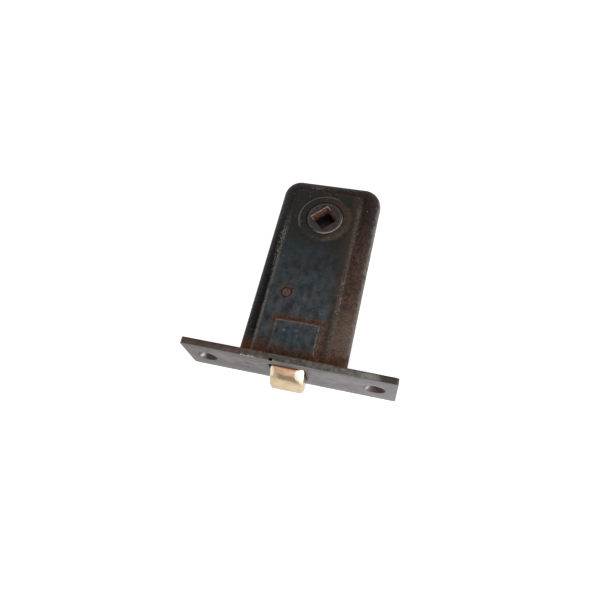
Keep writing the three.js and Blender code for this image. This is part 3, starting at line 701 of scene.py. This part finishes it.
def outward(made):
    """Turns every face outwards."""
    work = bmesh.new()
    work.from_mesh(made.data)
    bmesh.ops.remove_doubles(work, verts=work.verts, dist=1e-7)
    bmesh.ops.recalc_face_normals(work, faces=work.faces)
    work.to_mesh(made.data)
    work.free()
    return made


def settle(made):
    """Applies the modifiers."""
    graph = bpy.context.evaluated_depsgraph_get()
    mesh = bpy.data.meshes.new_from_object(made.evaluated_get(graph))
    made.modifiers.clear()
    made.data = mesh
    return made


def combine(made, others, operation):
    """Cuts, joins or intersects with other closed objects, which are used up."""
    for other in others:
        step = made.modifiers.new("step", "BOOLEAN")
        step.operation = operation
        step.solver = "EXACT"
        step.object = other
        settle(made)
        bpy.data.objects.remove(other)
    return made


def soften(made, width_mm, segments=3, angle=32):
    """Rounds sharp edges."""
    step = made.modifiers.new("edges", "BEVEL")
    step.width = width_mm * MM
    step.segments = segments
    step.limit_method = "ANGLE"
    step.angle_limit = math.radians(angle)
    step.use_clamp_overlap = True
    return settle(made)


def smooth(made, angle=34):
    """Smooth shading, broken at edges sharper than the angle."""
    work = bmesh.new()
    work.from_mesh(made.data)
    for face in work.faces:
        face.smooth = True
    for edge in work.edges:
        edge.smooth = len(edge.link_faces) == 2 and edge.calc_face_angle(0) < math.radians(angle)
    work.to_mesh(made.data)
    work.free()
    return made


def lathe(name, profile, centre, axis="z", sides=96):
    """A solid turned about z or y. profile is [radius, height] from one end of the axis to the other."""
    points = []
    rings = []
    for radius, height in profile:
        ring = []
        for i in range(sides if radius else 1):
            turn = 2 * math.pi * i / sides
            u = radius * math.cos(turn)
            v = radius * math.sin(turn)
            if axis == "z":
                points.append((centre[0] + u, centre[1] + v, height))
            else:
                points.append((centre[0] + u, height, centre[1] + v))
            ring.append(len(points) - 1)
        rings.append(ring)
    faces = []
    for low, high in zip(rings, rings[1:]):
        for i in range(sides):
            j = (i + 1) % sides
            if len(low) == 1:
                faces.append((low[0], high[j], high[i]))
            elif len(high) == 1:
                faces.append((low[i], low[j], high[0]))
            else:
                faces.append((low[i], low[j], high[j], high[i]))
    return outward(piece(name, points, faces))


def prism(name, outline, low, high, axis):
    """A closed prism. The outline's two coordinates are the ones that axis leaves over, in x, y, z order."""
    count = len(outline)
    points = []
    for height in (low, high):
        for pair in outline:
            point = list(pair)
            point.insert("xyz".index(axis), height)
            points.append(point)
    faces = [tuple(range(count)), tuple(range(count, 2 * count))]
    faces += [(i, (i + 1) % count, count + (i + 1) % count, count + i) for i in range(count)]
    return outward(piece(name, points, faces))


def drill(radius, low, high, centre, axis="z", sides=96):
    """A plain round cutter."""
    return lathe("hole", [[0, low], [radius, low], [radius, high], [0, high]], centre, axis, sides)


def quarter_turn(steps):
    """Angles from nothing to a quarter turn."""
    return [math.pi / 2 * i / steps for i in range(steps + 1)]


def rounded(half_a, half_b, radius, steps=8):
    """A rectangle's outline with round corners."""
    outline = []
    for quarter in range(4):
        start = quarter * math.pi / 2
        ca = (half_a - radius) * (1 if quarter in (0, 3) else -1)
        cb = (half_b - radius) * (1 if quarter < 2 else -1)
        for angle in quarter_turn(steps):
            turn = start + angle
            outline.append((ca + radius * math.cos(turn), cb + radius * math.sin(turn)))
    return outline


def curve_through(start, control, end, steps):
    """Points of a quadratic curve, without its first."""
    out = []
    for i in range(1, steps + 1):
        t = i / steps
        near = (1 - t) ** 2
        middle = 2 * t * (1 - t)
        out.append(tuple(near * s + middle * c + t * t * e for s, c, e in zip(start, control, end)))
    return out


def coat(made, paint):
    """Gives the whole piece one material."""
    made.data.materials.clear()
    made.data.materials.append(paint)


# ------------------------------------------------------------------ pressed case


def fade(value):
    """A smooth step from 1 at 0 or less to 0 at 1 or more."""
    t = min(1.0, max(0.0, value))
    return 1 - t * t * (3 - 2 * t)


def hump(value, centre, width):
    """A smooth hump of height 1."""
    return math.exp(-((value - centre) / width) ** 2)


def stamping(x, y):
    """Height that the press has added to the flat side at a point."""
    corner = 1.5
    dx = abs(x - FLAT_MIDDLE) - FLAT_X + corner
    dy = y - FLAT_Y + corner
    beyond = math.hypot(max(dx, 0), max(dy, 0)) - corner
    height = 0.25 * fade(beyond / 0.6)
    height += 0.07 * hump(beyond, -0.15, 0.28)
    half = PAD_HALF_X + max(0.0, PAD_FLARE_Y - y) * PAD_FLARE / PAD_FLARE_Y
    px = abs(x) - half
    py = y - PAD_REAR
    outside = math.hypot(max(px, 0), max(py, 0)) if max(px, py) > 0 else max(px, py)
    height += 0.9 * fade(outside / 2.1)
    height -= 0.1 * hump(outside, 2.5, 0.6)
    r = math.hypot(x, y - BACKSET)
    height += 0.8 * fade((r - 9.5) / 1.5)
    height -= 0.12 * hump(r, 11.6, 0.7)
    height += 0.06 * hump(r, 9.3, 0.4)
    height -= 0.1 * hump(math.hypot(x - RIVET[0], y - RIVET[1]), 3.1, 0.5)
    height += 0.035 * math.sin(x * 0.31 + 1.0) * math.sin(y * 0.17 + 0.4)
    return height


def shell_sheet(side):
    """The outside of one case half as a grid, from rim to rim and from front to rear rim."""
    blend = 0.5  # flat strip between the even grid and the rolled edge
    pitch = 0.36
    edge_steps = 30
    inner_x = CORE_X - blend
    inner_y = CASE_DEPTH - EDGE_RADIUS - blend
    length = blend + EDGE_RADIUS * math.acos(SEAM / EDGE_RADIUS)

    def roll(t):
        """Distance beyond the core and height, for a share of the way to the rim."""
        travel = t * length
        if travel <= blend:
            return travel, EDGE_RADIUS
        angle = (travel - blend) / EDGE_RADIUS
        return blend + EDGE_RADIUS * math.sin(angle), EDGE_RADIUS * math.cos(angle)

    columns = [("edge", -1, 1 - i / edge_steps) for i in range(edge_steps)]
    count = round(2 * inner_x / pitch)
    columns += [("core", 0, -inner_x + 2 * inner_x * i / count) for i in range(count + 1)]
    columns += [("edge", 1, (i + 1) / edge_steps) for i in range(edge_steps)]
    count = round((inner_y - CASE_FRONT) / pitch)
    rows = [("core", CASE_FRONT + (inner_y - CASE_FRONT) * i / count) for i in range(count + 1)]
    rows += [("edge", (i + 1) / edge_steps) for i in range(edge_steps)]

    points = []
    for row_kind, v in rows:
        for column_kind, sign, u in columns:
            if column_kind == "core" and row_kind == "core":
                x, y, z = u, v, EDGE_RADIUS
            elif row_kind == "core":
                out, z = roll(u)
                x, y = sign * (inner_x + out), v
            elif column_kind == "core":
                out, z = roll(v)
                x, y = u, inner_y + out
            else:
                out, z = roll(max(u, v))
                turn = math.pi / 4 * (v / u) if u >= v else math.pi / 2 - math.pi / 4 * (u / v)
                x, y = sign * (inner_x + out * math.cos(turn)), inner_y + out * math.sin(turn)
            share = (z / EDGE_RADIUS - 0.9) / 0.1  # less where the edge rolls down, then none
            z += stamping(x, y) * min(1.0, max(0.0, share))
            points.append((x, y, side * z))
    width = len(columns)
    faces = []
    for j in range(len(rows) - 1):
        for i in range(width - 1):
            a = j * width + i
            quad = (a, a + 1, a + width + 1, a + width)
            faces.append(quad if side > 0 else quad[::-1])
    return points, faces


def nesting_lip():
    """The rim that stands up inside the lower half and keeps the upper half in line."""
    front = 12.0
    blend = 0.5
    outer = EDGE_RADIUS - 1.85
    inner = outer - 0.75
    low = -1.2
    high = 1.4
    path = [(CORE_X, front, 1.0, 0.0)]
    corner_y = CASE_DEPTH - EDGE_RADIUS - blend
    for turn in quarter_turn(24):
        path.append((CORE_X - blend, corner_y, math.cos(turn), math.sin(turn)))
    path += [(-x, y, -c, s) for x, y, c, s in path[::-1]]
    section = [(inner, low), (outer, low), (outer, high), (inner, high)]
    points = []
    for x, y, c, s in path:
        reach = 0.0 if y < corner_y else blend
        points += [(x + c * (o + reach), y + s * (o + reach), z) for o, z in section]
    faces = [(0, 1, 2, 3), tuple(len(points) - 4 + k for k in (3, 2, 1, 0))]
    for j in range(len(path) - 1):
        for k in range(4):
            a = 4 * j + k
            b = 4 * j + (k + 1) % 4
            faces.append((a, a + 4, b + 4, b))
    return outward(piece("lip", points, faces))


def case_half(name, side, paint):
    """One pressed shell, the upper one with side 1 and the lower one, with the lip, with side -1."""
    points, faces = shell_sheet(side)
    made = piece(name, points, faces)
    step = made.modifiers.new("thickness", "SOLIDIFY")
    step.thickness = SHEET * MM
    step.offset = -1.0
    step.use_even_offset = True
    settle(made)
    through = 12
    holes = [drill(JOURNAL_RADIUS + 0.22, -through, through, (0, BACKSET)),
             drill(RIVET_RADIUS + 0.12, -through, through, RIVET, sides=64)]
    if side < 0:
        for end in ("left", "right"):
            low, high = box_of(f"bracket_rivet_{end}")
            middle = (low + high) / 2
            holes.append(drill(1.45, -through, 0, middle.xy, sides=48))
    combine(made, holes, "DIFFERENCE")
    soften(made, 0.12, 2, angle=50)
    if side < 0:
        lip = nesting_lip()
        bpy.context.view_layer.objects.active = made
        with bpy.context.temp_override(active_object=made, selected_editable_objects=[made, lip]):
            bpy.ops.object.join()
    smooth(made, 40)
    coat(made, paint)
    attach(made, "case")
    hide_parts(name)


# ------------------------------------------------------------------ faceplate and rivets


def on_plate(outline):
    """An outline from the faceplate's middle, in x and z."""
    return [(PLATE_MIDDLE + x, z) for x, z in outline]


def faceplate(paint):
    """The plate with its opening, countersunk holes, rivet holes and notch."""
    past = PLATE_THICKNESS + 1
    outline = on_plate(rounded(PLATE_HALF_X, PLATE_HALF_Z, 1.2))
    made = prism("faceplate_plate", outline, 0, PLATE_THICKNESS, "y")
    opening = on_plate(rounded(OPENING_HALF_X, OPENING_HALF_Z, 0.25, 4))
    cutters = [prism("opening", opening, -1, past, "y")]
    sink = [[0, -1], [4.75, -1], [4.25, 0], [2.5, 1.75], [2.5, past], [0, past]]
    rivet_hole = [[0, -1], [2.94, -1], [2.94, 0], [2.3, 1.2], [2.3, past], [0, past]]
    for sign in (-1, 1):
        cutters.append(lathe("sink", sink, (PLATE_MIDDLE + sign * SCREW_X, 0), "y"))
        cutters.append(lathe("rivet_hole", rivet_hole, (sign * FRONT_RIVET_X, 0), "y", 72))
    nick = [(NICK_X - 0.85, PLATE_HALF_Z + 0.2), (NICK_X - 0.55, PLATE_HALF_Z - 0.5),
            (NICK_X + 0.55, PLATE_HALF_Z - 0.9), (NICK_X + 0.85, PLATE_HALF_Z + 0.2)]
    cutters.append(prism("nick", on_plate(nick), -0.5, 0.8, "y"))
    combine(made, cutters, "DIFFERENCE")
    soften(made, 0.16, 3)
    smooth(made)
    coat(made, paint)
    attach(made, "case")
    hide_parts("faceplate")


def finish_rivet(made, paint, node, width):
    """Rounds, smooths and places a rivet."""
    soften(made, width, 3)
    smooth(made)
    coat(made, paint)
    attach(made, "case")
    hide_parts(node)


def rivets(plate_paint, rust_paint):
    """The two flush rivets of the faceplate, and the peened post through the case with its stop."""
    flush = [[0, 0.02], [2.9, 0.02], [2.1, 1.2], [2.0, 9.2], [0, 9.2]]
    for end, sign in (("left", -1), ("right", 1)):
        made = lathe(f"flush_rivet_{end}", flush, (sign * FRONT_RIVET_X, 0), "y", 72)
        finish_rivet(made, plate_paint, f"front_rivet_{end}", 0.05)
    top = FACE + 0.1
    stop_radius = 3.0
    stop_top = 5.1
    profile = [[0, -top], [1.5, -top], [1.95, -top + 0.16], [RIVET_RADIUS, -top + 0.4],
               [RIVET_RADIUS, -stop_top], [stop_radius, -stop_top],
               [stop_radius, stop_top], [RIVET_RADIUS, stop_top],
               [RIVET_RADIUS, top - 0.4], [1.95, top - 0.16], [1.5, top], [0.9, top - 0.06], [0, top - 0.12]]
    made = lathe("peened_rivet", profile, RIVET, "z", 72)
    finish_rivet(made, rust_paint, "case_rivet", 0.08)


# ------------------------------------------------------------------ hub


def arm_outline(degrees):
    """One arm of the hub: straight sides and a round tip, turned about the hub."""
    reach = 10.464  # the yoke's travel over twice the sine of half the hub's turn
    tip = 1.9
    neck = 1.4
    steps = 24
    outline = [(0.0, -neck), (reach, -neck)]
    for i in range(steps + 1):
        a = math.radians(-80 + 160 * i / steps)
        outline.append((reach + tip * math.cos(a), tip * math.sin(a)))
    outline += [(reach, neck), (0.0, neck)]
    turn = math.radians(degrees)
    c = math.cos(turn)
    s = math.sin(turn)
    return [(x * c - y * s, BACKSET + x * s + y * c) for x, y in outline]


def hub(paint):
    """The turned hub with two arms and a square hole that stands on its corner."""
    journal = JOURNAL_RADIUS
    body = 8.4
    shoulder = 6.0
    top = HUB_TOP
    profile = [[0, -top], [journal - 0.3, -top], [journal, -top + 0.3], [journal, -shoulder],
               [body, -shoulder], [body, shoulder], [journal, shoulder], [journal, top - 0.3],
               [journal - 0.3, top], [6.4, top - 0.1], [0, top - 0.12]]
    made = lathe("hub_turned", profile, (0, BACKSET), "z", 128)
    half_height = 1.7
    for degrees in (-21.0, 201.0):
        arm = prism("arm", arm_outline(degrees), -half_height, half_height, "z")
        combine(made, [arm], "UNION")
    root = math.sqrt(0.5)
    square = [((a - b) * root, BACKSET + (a + b) * root) for a, b in rounded(4.0, 4.0, 0.45, 6)]
    combine(made, [prism("square", square, -12, 12, "z")], "DIFFERENCE")
    soften(made, 0.14, 3)
    smooth(made)
    coat(made, paint)
    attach(made, "hub")
    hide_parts("hub")


# ------------------------------------------------------------------ latch bolt


def wear_normal(x):
    """Outward normal of the worn corner on the side of x."""
    lean = math.cos(WEAR_LEAN)
    side = math.copysign(math.sin(WEAR_LEAN), x)
    return Vector((side, -math.sin(WEAR_FALL) * lean, math.cos(WEAR_FALL) * lean))


def wear_block(point):
    """What is worn off a corner of the bevel: a block that stands on the plane through the point."""
    half = 12
    normal = wear_normal(point[0])
    along = Vector((1, 0, 0)).cross(normal).normalized() * half
    across = normal.cross(along)
    points = [tuple(Vector(point) + along * a + across * b + normal * c)
              for c in (0, 9) for a, b in ((-1, -1), (1, -1), (1, 1), (-1, 1))]
    faces = [(0, 1, 2, 3), (4, 5, 6, 7), (0, 1, 5, 4), (1, 2, 6, 5), (2, 3, 7, 6), (3, 0, 4, 7)]
    return outward(piece("wear", points, faces))


def bolt_side(rear):
    """The bolt's outline from its side, in y and z: the curved bevel, then the short round front."""
    high = BOLT_HALF_Z
    tip = -BOLT_OUT
    outline = [(rear, -high), (rear, high), (-0.3, high)]
    outline += curve_through((-0.3, high), (0.62 * tip, 0.52 * high), (tip, 3.2 - high), 28)
    outline += curve_through((tip, 3.2 - high), (tip - 0.05, -high), (tip + 1.8, -high), 14)
    return outline


def bolt_section(chamfer):
    """The bolt's outline from the front, in x and z, with two large and two small chamfers."""
    x = BOLT_HALF_X
    z = BOLT_HALF_Z
    low = 0.5
    return [(low - x, -z), (x - low, -z), (x, low - z), (x, z - chamfer),
            (x - chamfer, z), (chamfer - x, z), (-x, z - chamfer), (-x, low - z)]


def bolt_plan(rear, left, right):
    """The bolt's outline from above, in x and y. left and right are the radii of its front corners."""
    x = BOLT_HALF_X
    nose = -BOLT_OUT - 0.1
    outline = [(x, rear), (-x, rear)]
    for turn in quarter_turn(10):
        outline.append((left - x - left * math.cos(turn), nose + left - left * math.sin(turn)))
    for turn in quarter_turn(14):
        outline.append((x - right + right * math.sin(turn), nose + right - right * math.cos(turn)))
    return outline


def bolt(paint):
    """The beveled head, worn at two corners, with its bore for the tail rod and its pin hole."""
    half_x = BOLT_HALF_X
    half_z = BOLT_HALF_Z
    shoulder = 2.6
    back = 11.0
    made = prism("brass_bolt", bolt_side(shoulder), -half_x - 1, half_x + 1, "x")
    section = prism("section", bolt_section(chamfer=0.7), -BOLT_OUT - 1, shoulder + 1, "y")
    plan = prism("plan", bolt_plan(shoulder + 0.2, left=1.2, right=2.8), -half_z - 1, half_z + 1, "z")
    combine(made, [section, plan], "INTERSECT")
    combine(made, [wear_block(point) for point in WEAR_POINTS], "DIFFERENCE")
    low = 5.1
    rear = [(-half_x, -low), (half_x, -low), (half_x, low), (-half_x, low)]
    combine(made, [prism("rear", rear, shoulder - 0.5, back, "y")], "UNION")
    bore = drill(2.6, 4.0, back + 1, (0, 0), "y", 64)
    pin = drill(1.3, -8, 8, (0, 7.6), "z", 48)
    combine(made, [bore, pin], "DIFFERENCE")
    soften(made, 0.24, 3, angle=24)
    smooth(made, 40)
    coat(made, paint)
    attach(made, "latch_bolt")
    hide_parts("latch_bolt_head")


# ------------------------------------------------------------------ springs


def spring(name, node, turns, paint, body):
    """A round wire coil in the space of its plain one, closed at both ends."""
    low, high = box_of(node)
    wire = 0.45
    steps = 32
    sides = 12
    x = (low.x + high.x) / 2
    radius = (high.x - low.x) / 2 - wire - 0.02
    start = low.y + wire + 0.05
    end = high.y - wire - 0.05
    closed = 2 * wire + 0.1  # pitch of the first and the last turn
    pitch = (end - start - 2 * closed) / (turns - 2)
    path = []
    for i in range(turns * steps + 1):
        turn = i / steps
        if turn < 1:
            y = start + turn * closed
        elif turn > turns - 1:
            y = end - (turns - turn) * closed
        else:
            y = start + closed + (turn - 1) * pitch
        angle = 2 * math.pi * turn
        path.append((Vector((x + radius * math.cos(angle), y, radius * math.sin(angle))),
                     Vector((math.cos(angle), 0, math.sin(angle)))))
    points = []
    for i, (middle, radial) in enumerate(path):
        ahead = path[min(i + 1, len(path) - 1)][0] - path[max(i - 1, 0)][0]
        across = ahead.normalized().cross(radial).normalized()
        for k in range(sides):
            turn = 2 * math.pi * k / sides
            points.append(tuple(middle + radial * wire * math.cos(turn) + across * wire * math.sin(turn)))
    faces = [tuple(range(sides)), tuple(len(points) - 1 - k for k in range(sides))]
    for j in range(len(path) - 1):
        for k in range(sides):
            a = sides * j + k
            b = sides * j + (k + 1) % sides
            faces.append((a, a + sides, b + sides, b))
    made = smooth(outward(piece(name, points, faces)), 50)
    made.data.materials.append(paint)
    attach(made, body)
    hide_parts(node)
    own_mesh(made)


# ------------------------------------------------------------------ everything together

camera()
stage()
studio()

case_paint = blackened_steel()
plate_paint = worn_plate()
rust_paint = rusty_steel()
steel_paint = inner_steel("plain_steel", (0.07, 0.068, 0.066), (0.15, 0.145, 0.14), 0.38)
spring_paint = inner_steel("spring_steel", (0.11, 0.11, 0.115), (0.23, 0.23, 0.235), 0.26)

case_half("upper_case_half", 1, case_paint)
case_half("lower_case_half", -1, case_paint)
faceplate(plate_paint)
rivets(plate_paint, rust_paint)
hub(hub_iron())
bolt(rubbed_brass())

for end in ("left", "right"):
    spring(f"return_coil_{end}", f"yoke_spring_{end}", 7, spring_paint, "case")
spring("latch_coil", "latch_spring", 7, spring_paint, "yoke")

for node in ("yoke", "spring_bracket", "bracket_rivet_left", "bracket_rivet_right", "front_lug_left",
             "front_lug_right", "spring_guide_left", "spring_guide_right", "tail_rod", "tail_pin",
             "latch_spring_washer", "tail_washer", "tail_nut"):
    mesh = frame["nodes"][node].data
    for index in range(len(mesh.materials)):
        mesh.materials[index] = steel_paint
